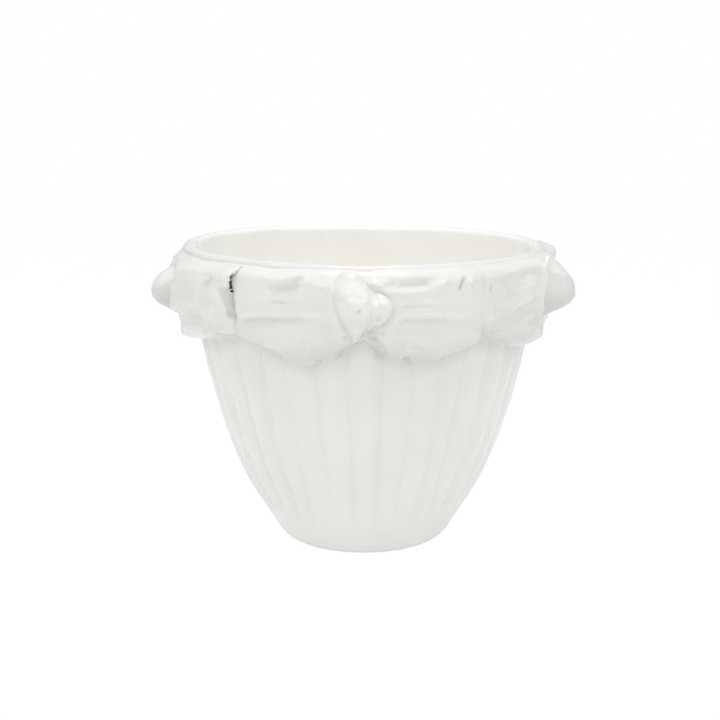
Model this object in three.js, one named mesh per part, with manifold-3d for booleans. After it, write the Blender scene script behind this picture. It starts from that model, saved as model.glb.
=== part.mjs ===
// A hand-built planter pot: a reeded bowl with five knotted swags of draped clay laid round it.
// Millimetres, +Z up. The origin is the middle of the flat foot, on the pot's axis.
// Azimuth 0 is the front, towards -Y, and it grows towards +X.

import * as THREE from 'three';
import { mergeVertices } from 'three/addons/utils/BufferGeometryUtils.js';
import Module from 'manifold-3d';

const wasm = await Module();
wasm.setup();

// Bowl
const potHeight = 189.3;
const lipRadius = 115;
const lipThickness = 8;
const wallThickness = 7;
const floorThickness = 9;
const floorCornerShare = 0.8;
const footRadius = 44;
const heelPullShare = 0.6;
const heelRadius = 56.7;
const heelHeight = 8;

// The lip isn't level: it rises above the pot's nominal height, and more so on the left
const lipRise = 1.3;
const leftLipRise = 1.5;
const lipRiseLength = 66;

// The two pulls that bend the wall between heel and lip
const lowerPullRadius = 69;
const lowerPullHeight = 29.8;
const upperPullRadius = 92.1;
const upperPullHeight = 44.8;

// Reeds cut into the wall, one of them narrower because the maker ran out of room
const reedCount = 34;
const narrowReedShare = 0.75;
const narrowReed = 3;
const firstGrooveAzimuth = -5.1;
const grooveDepth = 1.3;
const grooveShare = 0.15;
const grooveFadeHeight = 12;
const grooveFadeLength = 26;
const grooveLipDrop = 7;

// Swags: five bows, each a knot with a drape on either side. No two are alike: how far the hem lies below
// the lip, how much it is drawn up at the knot, and the degrees by which the knot sits off its place.
const bows = [
  { hemDrop: 54, knotRise: 10, knotTurn: 0 },
  { hemDrop: 59.5, knotRise: 2, knotTurn: 0.6 },
  { hemDrop: 55, knotRise: 8, knotTurn: -0.5 },
  { hemDrop: 56, knotRise: 7, knotTurn: 0.8 },
  { hemDrop: 57, knotRise: 2, knotTurn: -2.4 },
];
const bowCount = bows.length;
const seatGap = 0.3;
const drapeThickness = 6.2;
const drapeTopDrop = 2.2;
const hemEndRise = 7;
const hemKnotReach = 0.16;
const hemEndStart = 0.7;
const hemScallop = 1.1;
const hemScallops = 2.5;
const openSeam = 4;
const openSeamGap = 4;
const openSeamShift = 4;
const closedSeamGap = 1.2;
const flareLift = 7.5;
const squareEndLift = 1.6;
const liftStartShare = 0.62;
const liftFootDrop = 42;
const liftFullDrop = 12;
const foldLean = 0.3;
const handWander = 1.2;
const bowDifference = 2.3;
const edgeRounding = 3.4;
const edgeShare = 0.4;
const gatherShare = 0.55;
const crestSpread = 1.4;

// A right-hand free end is bitten back at its middle, and takes the larger part of the seam's opening. The
// open seam lies a little to the left of the middle between its knots.
const openSeamBite = 7;
const closedSeamBite = 4;
const biteDrop = 33;
const biteHeight = 8;
const rightSeamShare = 0.8;

// Folds of a drape, from the hem up: drops below the lip at the knot and at the free end, sag between them,
// how far the fold stands out and how broad it is
const hemRoll = { knotDrop: 37, endDrop: 40, sag: 3, relief: 3.4, breadth: 7.5 };
const middleRoll = { knotDrop: 23, endDrop: 27, sag: -1, relief: 3.4, breadth: 4.4 };
const saggingRoll = { knotDrop: 8, endDrop: 11, sag: 4, relief: 3.6, breadth: 3.6 };
const topRoll = { knotDrop: 3.8, endDrop: 4, sag: -0.2, relief: 1.8, breadth: 2.4 };
const rolls = [hemRoll, middleRoll, saggingRoll, topRoll];

// An upright pleat near each free end, where the cloth is caught up under the lip
const pleatShare = 0.8;
const pleatRelief = 2.6;
const pleatBreadth = 0.07;
const pleatFoot = 26;

// Knot: an upright strap pulled over the meeting drapes, and a tuck of it puffed out beside. Each is a lump
// with its crown at a drop below the lip, so far proud of the drapes, and its own ends above and below the
// crown. The strap's upper end is broad and blunt and its lower end is drawn to a point.
const strap = {
  turn: -3.5, drop: 22, proud: 18, halfWidth: 12.6, above: 21.8, below: 21.8,
  upperWidthPower: 3.3, lowerWidthPower: 1.7,
  upperDepthPower: 1.3, lowerDepthPower: 2, upperDepthShare: 0.53,
};
const tuck = {
  turn: 4.2, drop: 24.5, proud: 12, halfWidth: 8.6, above: 12.5, below: 13,
  upperWidthPower: 2.6, lowerWidthPower: 2.2,
  upperDepthPower: 3, lowerDepthPower: 3, upperDepthShare: 1,
};
const bluntEndPower = 40;
const lumpSegments = 14;
const lumpRings = 12;
const clearBowlSides = 90;
const clearBowlMargin = 20;
const clearBowlRows = 8;
const underLipShare = 0.75;

const drapeSteps = 13;
const wallRows = 9;
const insideRows = 5;
const glaze = 0xe6e7e2;

const lerp = THREE.MathUtils.lerp;
const radians = THREE.MathUtils.degToRad;
const smoothstep = THREE.MathUtils.smoothstep;

// A small steady difference between one bow and the next, as a hand makes them
function byHand(bow, phase) {
  return Math.sin(bow * bowDifference + phase);
}

function onBowl(radius, azimuth, height) {
  return new THREE.Vector3(radius * Math.sin(azimuth), -radius * Math.cos(azimuth), height);
}

const heelCurve = new THREE.QuadraticBezierCurve(
  new THREE.Vector2(footRadius, 0),
  new THREE.Vector2(lerp(footRadius, heelRadius, heelPullShare), 0),
  new THREE.Vector2(heelRadius, heelHeight),
);
const wallCurve = new THREE.CubicBezierCurve(
  new THREE.Vector2(heelRadius, heelHeight),
  new THREE.Vector2(lowerPullRadius, lowerPullHeight),
  new THREE.Vector2(upperPullRadius, upperPullHeight),
  new THREE.Vector2(lipRadius, potHeight - lipThickness / 2),
);

// Where along the wall's curve a height lies
function wallShareAt(height) {
  let low = 0;
  let high = 1;
  for (let step = 0; step < 30; step += 1) {
    const middle = (low + high) / 2;
    if (wallCurve.getPoint(middle).y < height) low = middle;
    else high = middle;
  }
  return (low + high) / 2;
}

function wallRadiusAt(height) {
  return wallCurve.getPoint(wallShareAt(height)).x;
}

function pieceGeometry(corners, triangles) {
  const geometry = new THREE.BufferGeometry();
  const places = corners.flatMap((corner) => [corner.x, corner.y, corner.z]);
  geometry.setAttribute('position', new THREE.Float32BufferAttribute(places, 3));
  geometry.setIndex(triangles);
  return geometry;
}

function toSolid(geometry) {
  const bare = geometry.clone();
  bare.deleteAttribute('normal');
  bare.deleteAttribute('uv');
  const merged = mergeVertices(bare, 1e-4);
  return new wasm.Manifold(new wasm.Mesh({
    numProp: 3,
    vertProperties: new Float32Array(merged.attributes.position.array),
    triVerts: new Uint32Array(merged.index.array),
  }));
}

function fromSolid(solid) {
  const mesh = solid.getMesh();
  const geometry = new THREE.BufferGeometry();
  geometry.setAttribute('position', new THREE.BufferAttribute(new Float32Array(mesh.vertProperties), 3));
  geometry.setIndex(new THREE.BufferAttribute(new Uint32Array(mesh.triVerts), 1));
  return geometry;
}

// Bowl
function lipRiseAt(height, azimuth) {
  const onLeft = smoothstep(-Math.sin(azimuth), 0, 0.7);
  const nearLip = smoothstep(height, potHeight - lipRiseLength, potHeight - lipThickness / 2);
  return (lipRise + leftLipRise * onLeft) * nearLip;
}

function bowlProfile() {
  const lipRound = lipThickness / 2;
  const profile = [new THREE.Vector2(0, 0)];
  profile.push(...heelCurve.getPoints(3));
  for (let row = 1; row <= wallRows; row += 1) {
    profile.push(wallCurve.getPoint(row / wallRows));
  }
  for (const turn of [30, 65, 100, 140, 180]) {
    profile.push(new THREE.Vector2(
      lipRadius - lipRound + lipRound * Math.cos(radians(turn)),
      potHeight - lipRound + lipRound * Math.sin(radians(turn)),
    ));
  }
  const floorShare = wallShareAt(floorThickness + wallThickness);
  for (let row = 1; row <= insideRows; row += 1) {
    const share = lerp(1, floorShare, row / insideRows);
    const point = wallCurve.getPoint(share);
    const slope = wallCurve.getTangent(share);
    const thickness = lerp(lipThickness, wallThickness, smoothstep(row / insideRows, 0, 0.4));
    profile.push(new THREE.Vector2(point.x - thickness * slope.y, point.y + thickness * slope.x));
  }
  const corner = profile[profile.length - 1];
  const floorRadius = corner.x - (corner.y - floorThickness) * floorCornerShare;
  profile.push(new THREE.Vector2(floorRadius, floorThickness));
  profile.push(new THREE.Vector2(0, floorThickness));
  return profile;
}

// Azimuth of the groove that starts a reed
function grooveAzimuth(reed) {
  const pitch = 360 / (reedCount - 1 + narrowReedShare);
  const lost = reed > narrowReed ? 1 - narrowReedShare : 0;
  return firstGrooveAzimuth + pitch * (reed - lost);
}

function bowlGeometry() {
  const profile = bowlProfile();
  const cornersPerReed = [0, grooveShare, 0.5, 1 - grooveShare];
  const geometry = new THREE.LatheGeometry(profile, reedCount * cornersPerReed.length);
  geometry.rotateX(Math.PI / 2);
  const positions = geometry.attributes.position;
  const outsideEnd = 4 + wallRows;
  for (let index = 0; index < positions.count; index += 1) {
    const slice = Math.floor(index / profile.length);
    const row = index % profile.length;
    const { x: radius, y: height } = profile[row];
    const reed = Math.floor(slice / cornersPerReed.length);
    const corner = slice % cornersPerReed.length;
    const azimuth = radians(lerp(grooveAzimuth(reed), grooveAzimuth(reed + 1), cornersPerReed[corner]));
    const fadeIn = smoothstep(height, grooveFadeHeight, grooveFadeHeight + grooveFadeLength);
    const fadeOut = 1 - smoothstep(height, potHeight - 2 * grooveLipDrop, potHeight - grooveLipDrop);
    const onOutside = row <= outsideEnd;
    const cut = onOutside && corner === 0 ? grooveDepth * fadeIn * fadeOut : 0;
    const place = onBowl(radius - cut, azimuth, height + lipRiseAt(height, azimuth));
    positions.setXYZ(index, place.x, place.y, place.z);
  }
  return geometry;
}

// Drapes
function rollHeight(roll, share, bow, order) {
  const drop = lerp(roll.knotDrop, roll.endDrop, share) + roll.sag * Math.sin(Math.PI * share);
  const wander = handWander * byHand(bow, order * 1.9) * Math.sin(Math.PI * share);
  return potHeight - drop + wander;
}

function hemHeight(share, bow) {
  const nearKnot = bows[bow].knotRise * Math.exp(-((share / hemKnotReach) ** 2));
  const nearEnd = hemEndRise * smoothstep(share, hemEndStart, 1);
  const scallop = hemScallop * Math.cos(2 * Math.PI * hemScallops * share + byHand(bow, 1));
  return potHeight - bows[bow].hemDrop + nearKnot + nearEnd + scallop * smoothstep(share, 0, 0.3);
}

function foldRelief(height, share, bow) {
  const gather = lerp(gatherShare, 1, smoothstep(share, 0, 0.3));
  const caughtUp = smoothstep(height, potHeight - pleatFoot, potHeight - pleatFoot / 2);
  const pleat = pleatRelief * caughtUp * Math.exp(-(((share - pleatShare) / pleatBreadth) ** 2));
  return rolls.reduce((sum, roll, order) => {
    const away = (height - rollHeight(roll, share, bow, order)) / roll.breadth;
    return sum + roll.relief * gather * Math.exp(-away * away);
  }, pleat);
}

// How far the free end has lifted off the wall at a height
function endLift(height, share, bow, side) {
  const amount = side > 0 ? flareLift * (1 + 0.15 * byHand(bow, 0.5)) : squareEndLift;
  const upper = smoothstep(height, potHeight - liftFootDrop, potHeight - liftFullDrop);
  return amount * upper * smoothstep(share, liftStartShare, 1) ** 1.5;
}

// How far a free end stays back from the middle between two knots, as an angle
function seamTrim(height, bow, side) {
  const seam = side > 0 ? bow : (bow + bowCount - 1) % bowCount;
  const open = seam === openSeam;
  const gap = open ? openSeamGap : closedSeamGap;
  const shift = open ? openSeamShift : 0;
  if (side < 0) return (gap * (1 - rightSeamShare) - shift) / lipRadius;
  const bite = open ? openSeamBite : closedSeamBite;
  const away = (height - (potHeight - biteDrop)) / biteHeight;
  return (gap * rightSeamShare + shift + bite * Math.exp(-away * away)) / lipRadius;
}

// A drape's thickness, rounded off towards its top edge and its hem
function roundedThickness(height, top, hem) {
  const inside = Math.min(Math.min(top - height, height - hem) / edgeRounding, 1);
  return drapeThickness * lerp(edgeShare, 1, Math.sqrt(1 - (1 - inside) ** 2));
}

// One closed section of a drape in radius and height: up the seat, over the top and down the folds
function drapeSection(share, bow, side, grow) {
  const top = potHeight - drapeTopDrop + grow;
  const hem = hemHeight(share, bow) - grow;
  const crests = rolls.map((roll, order) => rollHeight(roll, share, bow, order));
  const [hemFold, middleFold, saggingFold, topFold] = crests;
  const seat = [0.06, 0.5, 0.96].map((part) => {
    const height = lerp(hem, top, part);
    const radius = wallRadiusAt(height) + seatGap - 2 * grow + endLift(height, share, bow, side);
    return new THREE.Vector2(radius, height);
  });
  const foldHeights = [
    top, (top + topFold) / 2, topFold, (topFold + saggingFold) / 2,
    saggingFold + crestSpread, saggingFold - crestSpread, (saggingFold + middleFold) / 2,
    middleFold + crestSpread, middleFold - crestSpread, (middleFold + hemFold) / 2,
    hemFold, (hemFold + hem) / 2, hem + edgeRounding / 2, hem,
  ];
  const folds = foldHeights.map((height) => {
    const relief = foldRelief(height, share, bow);
    const inner = wallRadiusAt(height) + seatGap + endLift(height, share, bow, side);
    const radius = inner + roundedThickness(height, top, hem) + relief + grow;
    return new THREE.Vector2(radius, height - foldLean * relief);
  });
  return [...seat, ...folds];
}

function drapeGeometry(bow, side, grow = 0) {
  const middle = 2 * Math.PI * bow / bowCount;
  const reach = Math.PI / bowCount;
  const corners = [];
  const triangles = [];
  let count = 0;
  const endSections = [];
  for (let step = 0; step <= drapeSteps; step += 1) {
    const share = step / drapeSteps;
    const section = drapeSection(share, bow, side, grow);
    count = section.length;
    if (step === 0 || step === drapeSteps) endSections.push(section);
    for (const { x: radius, y: height } of section) {
      const start = (seatGap / 2 - grow) / lipRadius;
      const end = reach - seamTrim(height, bow, side) + grow / lipRadius;
      corners.push(onBowl(radius, middle + side * lerp(start, end, share), height));
    }
  }
  const addTriangle = (a, b, c) => {
    if (side > 0) triangles.push(a, b, c);
    else triangles.push(a, c, b);
  };
  for (let step = 0; step < drapeSteps; step += 1) {
    for (let edge = 0; edge < count; edge += 1) {
      const next = (edge + 1) % count;
      const here = step * count;
      const there = here + count;
      addTriangle(here + edge, there + next, there + edge);
      addTriangle(here + edge, here + next, there + next);
    }
  }
  endSections.forEach((section, end) => {
    const offset = end * drapeSteps * count;
    for (const [a, b, c] of THREE.ShapeUtils.triangulateShape(section, [])) {
      if (end === 0) addTriangle(offset + a, offset + b, offset + c);
      else addTriangle(offset + a, offset + c, offset + b);
    }
  });
  return pieceGeometry(corners, triangles);
}

// Knots
function lumpGeometry(lump, azimuth) {
  const geometry = new THREE.SphereGeometry(1, lumpSegments, lumpRings);
  geometry.rotateX(Math.PI / 2);
  const positions = geometry.attributes.position;
  const crown = potHeight - lump.drop;
  const seat = wallRadiusAt(crown) + seatGap;
  const crownDepth = drapeThickness + lump.proud;
  for (let index = 0; index < positions.count; index += 1) {
    const level = positions.getZ(index);
    const ring = Math.sqrt(Math.max(1 - level * level, 0));
    const across = ring > 1e-6 ? positions.getX(index) / ring : 0;
    const out = ring > 1e-6 ? -positions.getY(index) / ring : 0;
    const end = Math.abs(level);
    const width = lump.halfWidth * (1 - end ** (level > 0 ? lump.upperWidthPower : lump.lowerWidthPower));
    const tipShare = level > 0 ? lump.upperDepthShare : 1;
    const taper = 1 - tipShare * end ** (level > 0 ? lump.upperDepthPower : lump.lowerDepthPower);
    const depth = crownDepth * taper * (1 - end ** bluntEndPower);
    const turn = azimuth + width * across / lipRadius;
    const height = crown + level * (level > 0 ? lump.above : lump.below);
    const corner = onBowl(seat + depth * out, turn, height);
    positions.setXYZ(index, corner.x, corner.y, corner.z);
  }
  return geometry;
}

// What the knots are cut back from: the bowl, with room above its lip
function clearBowlGeometry() {
  const foot = potHeight - Math.max(...bows.map((bow) => bow.hemDrop)) - clearBowlMargin;
  const profile = [new THREE.Vector2(0, foot)];
  for (let row = 0; row <= clearBowlRows; row += 1) {
    const height = lerp(foot, potHeight - drapeTopDrop - seatGap, row / clearBowlRows);
    const nearLip = smoothstep(height, potHeight - 5 * drapeTopDrop, potHeight - 2 * drapeTopDrop);
    const clearance = 1.5 * seatGap + underLipShare * nearLip * drapeThickness;
    profile.push(new THREE.Vector2(wallRadiusAt(height) + clearance, height));
  }
  profile.push(new THREE.Vector2(lipRadius + drapeThickness, potHeight + seatGap - drapeTopDrop));
  profile.push(new THREE.Vector2(lipRadius + drapeThickness, potHeight + clearBowlMargin));
  profile.push(new THREE.Vector2(0, potHeight + clearBowlMargin));
  const geometry = new THREE.LatheGeometry(profile, clearBowlSides);
  geometry.rotateX(Math.PI / 2);
  return geometry;
}

function knotGeometry(bow, clearBowl) {
  const middle = 2 * Math.PI * bow / bowCount;
  const strapLump = lumpGeometry(strap, middle + radians(strap.turn + bows[bow].knotTurn));
  const tuckLump = lumpGeometry(tuck, middle + radians(tuck.turn + bows[bow].knotTurn));
  return fromSolid(toSolid(strapLump)
    .add(toSolid(tuckLump))
    .subtract(clearBowl)
    .subtract(toSolid(drapeGeometry(bow, 1, seatGap)))
    .subtract(toSolid(drapeGeometry(bow, -1, seatGap))));
}

function glazedPiece(name, geometry) {
  const material = new THREE.MeshStandardMaterial({ color: glaze, roughness: 0.15, metalness: 0 });
  const piece = new THREE.Mesh(geometry, material);
  piece.name = name;
  return piece;
}

const pot = new THREE.Group();
pot.add(glazedPiece('pot_body', bowlGeometry()));
const clearBowl = toSolid(clearBowlGeometry());
for (let bow = 0; bow < bowCount; bow += 1) {
  pot.add(glazedPiece(`knot_${bow + 1}`, knotGeometry(bow, clearBowl)));
  pot.add(glazedPiece(`drape_right_${bow + 1}`, drapeGeometry(bow, 1)));
  pot.add(glazedPiece(`drape_left_${bow + 1}`, drapeGeometry(bow, -1)));
}

export default pot;
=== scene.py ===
import math
import bpy
import numpy as np
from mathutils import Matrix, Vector


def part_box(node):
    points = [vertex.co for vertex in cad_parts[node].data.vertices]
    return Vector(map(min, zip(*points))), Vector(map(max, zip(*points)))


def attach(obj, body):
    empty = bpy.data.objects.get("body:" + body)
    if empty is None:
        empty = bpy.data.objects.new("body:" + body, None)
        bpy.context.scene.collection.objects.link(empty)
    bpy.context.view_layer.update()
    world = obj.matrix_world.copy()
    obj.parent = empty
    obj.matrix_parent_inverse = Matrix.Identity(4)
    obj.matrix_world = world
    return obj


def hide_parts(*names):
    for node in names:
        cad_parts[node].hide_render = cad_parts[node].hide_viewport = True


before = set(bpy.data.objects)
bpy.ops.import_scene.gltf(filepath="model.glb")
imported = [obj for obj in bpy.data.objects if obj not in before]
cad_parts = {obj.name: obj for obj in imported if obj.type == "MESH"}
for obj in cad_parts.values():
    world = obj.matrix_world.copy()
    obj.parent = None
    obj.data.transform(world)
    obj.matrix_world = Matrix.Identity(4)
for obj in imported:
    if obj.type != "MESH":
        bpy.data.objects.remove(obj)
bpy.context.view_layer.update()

# Sizes below are in millimetres and degrees. Azimuth 0 is the front (-Y), and it grows towards +X. Drops are
# measured down from potHeight, which leaves out the lip's uneven rise.
mm = 0.001
potHeight = 189.3
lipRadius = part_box("pot_body")[1].x / mm
bowCount = 5
bowTurn = 360 / bowCount      # from one knot to the next


# Small helpers

def selectNothing():
    if bpy.context.object and bpy.context.object.mode != "OBJECT":
        bpy.ops.object.mode_set(mode="OBJECT")
    bpy.ops.object.select_all(action="DESELECT")


def pickOnly(piece):
    selectNothing()
    piece.select_set(True)
    bpy.context.view_layer.objects.active = piece


def readCorners(piece):
    flat = np.empty(len(piece.data.vertices) * 3)
    piece.data.vertices.foreach_get("co", flat)
    return flat.reshape(-1, 3)


def writeCorners(piece, corners):
    piece.data.vertices.foreach_set("co", np.ascontiguousarray(corners, dtype=float).ravel())
    piece.data.update()


def ease(value, low, high):
    share = np.clip((value - low) / (high - low), 0, 1)
    return share * share * (3 - 2 * share)


def placeOnPot(radius, azimuth, height):
    angle = np.radians(azimuth)
    return np.stack([radius * np.sin(angle), -radius * np.cos(angle), height], axis=-1) * mm


def azimuthOf(corners):
    return np.degrees(np.arctan2(corners[:, 0], -corners[:, 1]))


def fromKnot(azimuth, bow):
    # degrees from a knot's usual place, between -180 and 180
    return (azimuth - bowTurn * bow + 180) % 360 - 180


def readOff(points, at):
    # the value at a place, along a list of (place, value)
    places, values = np.array(points, float).T
    return np.interp(at, places, values)


def crowdEnds(share, amount):
    # shares from 0 to 1, drawn together towards both ends
    return share - amount * np.sin(2 * np.pi * share) / (2 * np.pi)


def lumps(corners, size, seed, waves=14):
    # soft unevenness left by fingers, mostly between -1 and 1, with bumps some size millimetres apart
    chance = np.random.default_rng(seed)
    total = np.zeros(len(corners))
    for wave in range(waves):
        heading = chance.normal(size=3)
        heading *= chance.uniform(0.6, 1.4) / np.linalg.norm(heading)
        total += np.sin(corners @ heading * (2 * math.pi / (size * mm)) + chance.uniform(0, 6.28))
    return total / 4


def addModifier(piece, kind, **settings):
    pickOnly(piece)
    modifier = piece.modifiers.new(kind.title(), kind)
    for name, value in settings.items():
        setattr(modifier, name, value)
    bpy.ops.object.modifier_apply(modifier=modifier.name)


def outwardNormals(piece):
    pickOnly(piece)
    bpy.ops.object.mode_set(mode="EDIT")
    bpy.ops.mesh.select_all(action="SELECT")
    bpy.ops.mesh.remove_doubles(threshold=1e-6)
    bpy.ops.mesh.normals_make_consistent(inside=False)
    bpy.ops.object.mode_set(mode="OBJECT")
    bpy.ops.object.shade_smooth()


# The bowl's wall is one pulled curve from the heel to where the lip starts to round
bowl = {
    "lipThickness": 8, "wall": 7, "thinsOver": 0.3, "floor": 9, "footRadius": 44, "bareFoot": 42.5,
    "heelRadius": 56.7, "heelHeight": 8, "heelPull": 0.6, "lowerPull": (69, 29.8), "upperPull": (92.1, 44.8),
    "heelRows": 12, "wallRows": 110, "lipRows": 15, "insideRows": 48, "columnsPerReed": 14, "crowding": 0.4,
    "reeds": 34, "narrowReed": 3, "narrowShare": 0.75, "firstGroove": -5.1,
    "grooveDepth": 0.8, "grooveWidth": 3.0, "reedCrown": 1.1,
    "groovesStart": 10, "groovesFull": 42, "groovesEndDrop": 8,
    "misplaced": 0.3, "wander": 0.45, "wanderLength": 31,
    "lipRise": 1.3, "leftLipRise": 1.5, "lipWave": 0.2, "lipRiseHeights": (120, 186),
    "broadLumps": 0.35, "smallLumps": 0.12, "inset": 0.4,
}


def wallCurve(count):
    share = np.linspace(0, 1, count)[:, None]
    points = [
        (bowl["heelRadius"], bowl["heelHeight"]), bowl["lowerPull"], bowl["upperPull"],
        (lipRadius, potHeight - bowl["lipThickness"] / 2),
    ]
    start, first, second, end = (np.array(point, float) for point in points)
    rest = 1 - share
    return (rest ** 3 * start + 3 * rest ** 2 * share * first
            + 3 * rest * share ** 2 * second + share ** 3 * end)


wallLine = wallCurve(400)      # close enough points to read radii from


def wallRadius(height):
    return np.interp(height, wallLine[:, 1], wallLine[:, 0])


def bowlProfile():
    # radius and height, from the middle of the foot up the outside, over the lip and down to the inner floor
    foot = [(share * bowl["footRadius"], 0) for share in (0, 0.3, 0.6, 0.85, 0.97)]
    heel = []
    for share in np.linspace(0, 1, bowl["heelRows"])[:-1]:
        bend = bowl["footRadius"] + bowl["heelPull"] * (bowl["heelRadius"] - bowl["footRadius"])
        radius = (1 - share) ** 2 * bowl["footRadius"] + 2 * (1 - share) * share * bend
        heel.append((radius + share ** 2 * bowl["heelRadius"], share ** 2 * bowl["heelHeight"]))
    outside = [tuple(point) for point in wallCurve(bowl["wallRows"])]
    lipRound = bowl["lipThickness"] / 2
    lip = []
    for turn in np.radians(np.linspace(0, 180, bowl["lipRows"])[1:]):
        lip.append((lipRadius - lipRound + lipRound * math.cos(turn),
                    potHeight - lipRound + lipRound * math.sin(turn)))
    inside = []
    curve = wallCurve(bowl["insideRows"])[::-1]
    slopes = np.gradient(curve, axis=0)
    slopes /= np.linalg.norm(slopes, axis=1)[:, None]
    for (radius, height), (across, rise) in zip(curve[1:], slopes[1:]):
        down = (potHeight - height) / potHeight
        thinner = (bowl["wall"] - bowl["lipThickness"]) * min(down / bowl["thinsOver"], 1)
        thickness = bowl["lipThickness"] + thinner
        point = (radius + thickness * rise, height - thickness * across)
        if point[1] > bowl["floor"] + 3:
            inside.append(point)
    # the floor meets the wall in a soft corner
    lastRadius = inside[-1][0]
    corner = [(lastRadius - 2.2, bowl["floor"] + 1.2), (lastRadius - 5.5, bowl["floor"] + 0.2)]
    middle = [(lastRadius * share, bowl["floor"]) for share in (0.8, 0.5, 0.25, 0)]
    return foot + heel + outside + lip + inside + corner + middle


def grooveAzimuth(reed):
    pitch = 360 / (bowl["reeds"] - 1 + bowl["narrowShare"])
    lost = np.where(reed > bowl["narrowReed"], 1 - bowl["narrowShare"], 0)
    return bowl["firstGroove"] + pitch * (reed - lost)


def grooveWander(groove, height):
    # each groove was drawn by hand, so it starts a little off its place and strays on its way down
    strays = bowl["wander"] * np.sin(height / bowl["wanderLength"] + groove * 2.1)
    return strays + bowl["misplaced"] * np.sin(groove * 1.3)


def lipRise(azimuth):
    # the lip isn't level: it stands a little higher on the left
    angle = np.radians(azimuth)
    onLeft = ease(-np.sin(angle), 0, 0.7)
    return bowl["lipRise"] + bowl["leftLipRise"] * onLeft + bowl["lipWave"] * np.sin(3 * angle + 1)


def makeBowl():
    selectNothing()
    profile = bowlProfile()
    bpy.ops.mesh.primitive_plane_add(size=0.01)
    piece = bpy.context.object
    piece.name = "reededBowl"
    bpy.ops.object.mode_set(mode="EDIT")
    bpy.ops.mesh.select_all(action="SELECT")
    bpy.ops.mesh.merge(type="CENTER")
    for (radius, height), (nextRadius, nextHeight) in zip(profile, profile[1:]):
        step = ((nextRadius - radius) * mm, 0, (nextHeight - height) * mm)
        bpy.ops.mesh.extrude_region_move(TRANSFORM_OT_translate={"value": step})
    bpy.ops.mesh.select_all(action="SELECT")
    columns = bowl["reeds"] * bowl["columnsPerReed"]
    bpy.ops.mesh.spin(steps=columns, angle=2 * math.pi, center=(0, 0, 0), axis=(0, 0, 1))
    bpy.ops.object.mode_set(mode="OBJECT")
    outwardNormals(piece)
    carveReeds(piece)
    print("bowl", len(piece.data.polygons), "faces")
    return piece


def carveReeds(piece):
    corners = readCorners(piece) / mm
    radius = np.hypot(corners[:, 0], corners[:, 1])
    height = corners[:, 2]
    place = azimuthOf(corners) % 360 / 360 * bowl["reeds"]
    reed = np.floor(place + 1e-6)
    local = crowdEnds(place - reed, bowl["crowding"])      # more columns beside the grooves
    left, right = grooveAzimuth(reed), grooveAzimuth(reed + 1)
    azimuth = left + (right - left) * local
    leftWander, rightWander = (grooveWander(each % bowl["reeds"], height) for each in (reed, reed + 1))
    azimuth = azimuth + (leftWander + (rightWander - leftWander) * local) * ease(radius, 20, 60)
    edge = np.clip(np.where(local < 0.5, local, 1 - local), 0, 0.5)
    away = edge * np.radians(right - left) * radius
    # no two grooves are cut alike, and none is equally deep all the way
    nearest = np.where(local < 0.5, reed, reed + 1) % bowl["reeds"]
    uneven = 1 + 0.45 * np.sin(nearest * 2.7) + 0.35 * np.sin(height / 23 + nearest * 4.1)
    groove = bowl["grooveDepth"] * uneven * np.exp(-(away / bowl["grooveWidth"]) ** 2)
    valley = 0.35 * (1 - 2 * edge) ** 2 + 0.65 * np.cos(np.pi * edge) ** 2
    crown = bowl["reedCrown"] * valley * (1 + 0.3 * np.sin(reed * 1.9))
    endDrop = bowl["groovesEndDrop"]
    fade = ease(height, bowl["groovesStart"], bowl["groovesFull"])
    fade = fade * (1 - ease(height, potHeight - 2 * endDrop, potHeight - endDrop))
    outside = radius > wallRadius(height) - 0.5
    radius = radius - np.where(outside, (groove + crown) * fade, 0)
    height = height + lipRise(azimuth) * ease(height, *bowl["lipRiseHeights"])
    corners = placeOnPot(radius, azimuth, height)
    broad, small = lumps(corners, 38, 1), lumps(corners, 14, 2)
    soft = bowl["broadLumps"] * broad + bowl["smallLumps"] * small - bowl["inset"]
    walls = ease(height, 4, 30)
    corners[:, :2] *= (1 + (soft * walls / np.maximum(radius, 1)))[:, None]
    writeCorners(piece, corners)


# Strokes of a modelling tool. Each follows a path of (degrees from the knot, drop), and raises a ridge or,
# where its height is below 0, presses a groove.
drapeMiddle = 118      # radius
degreeWidth = math.radians(1) * drapeMiddle


def stroke(path, width, height, fade=3):
    return {"path": path, "width": width, "height": height, "fade": fade}


def strokePath(points):
    # a straight line between two points, and a smooth curve through more
    points = np.array(points, float)
    if len(points) < 3:
        share = np.linspace(0, 1, 8)[:, None]
        return points[0] * (1 - share) + points[-1] * share
    padded = np.vstack([2 * points[0] - points[1], points, 2 * points[-1] - points[-2]])
    share = np.linspace(0, 1, 7)[:-1, None]
    line = []
    for before, start, end, after in zip(padded, padded[1:], padded[2:], padded[3:]):
        line.append(0.5 * (2 * start + (end - before) * share
                           + (2 * before - 5 * start + 4 * end - after) * share ** 2
                           + (3 * start - before - 3 * end + after) * share ** 3))
    return np.vstack([*line, points[-1:]])


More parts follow.
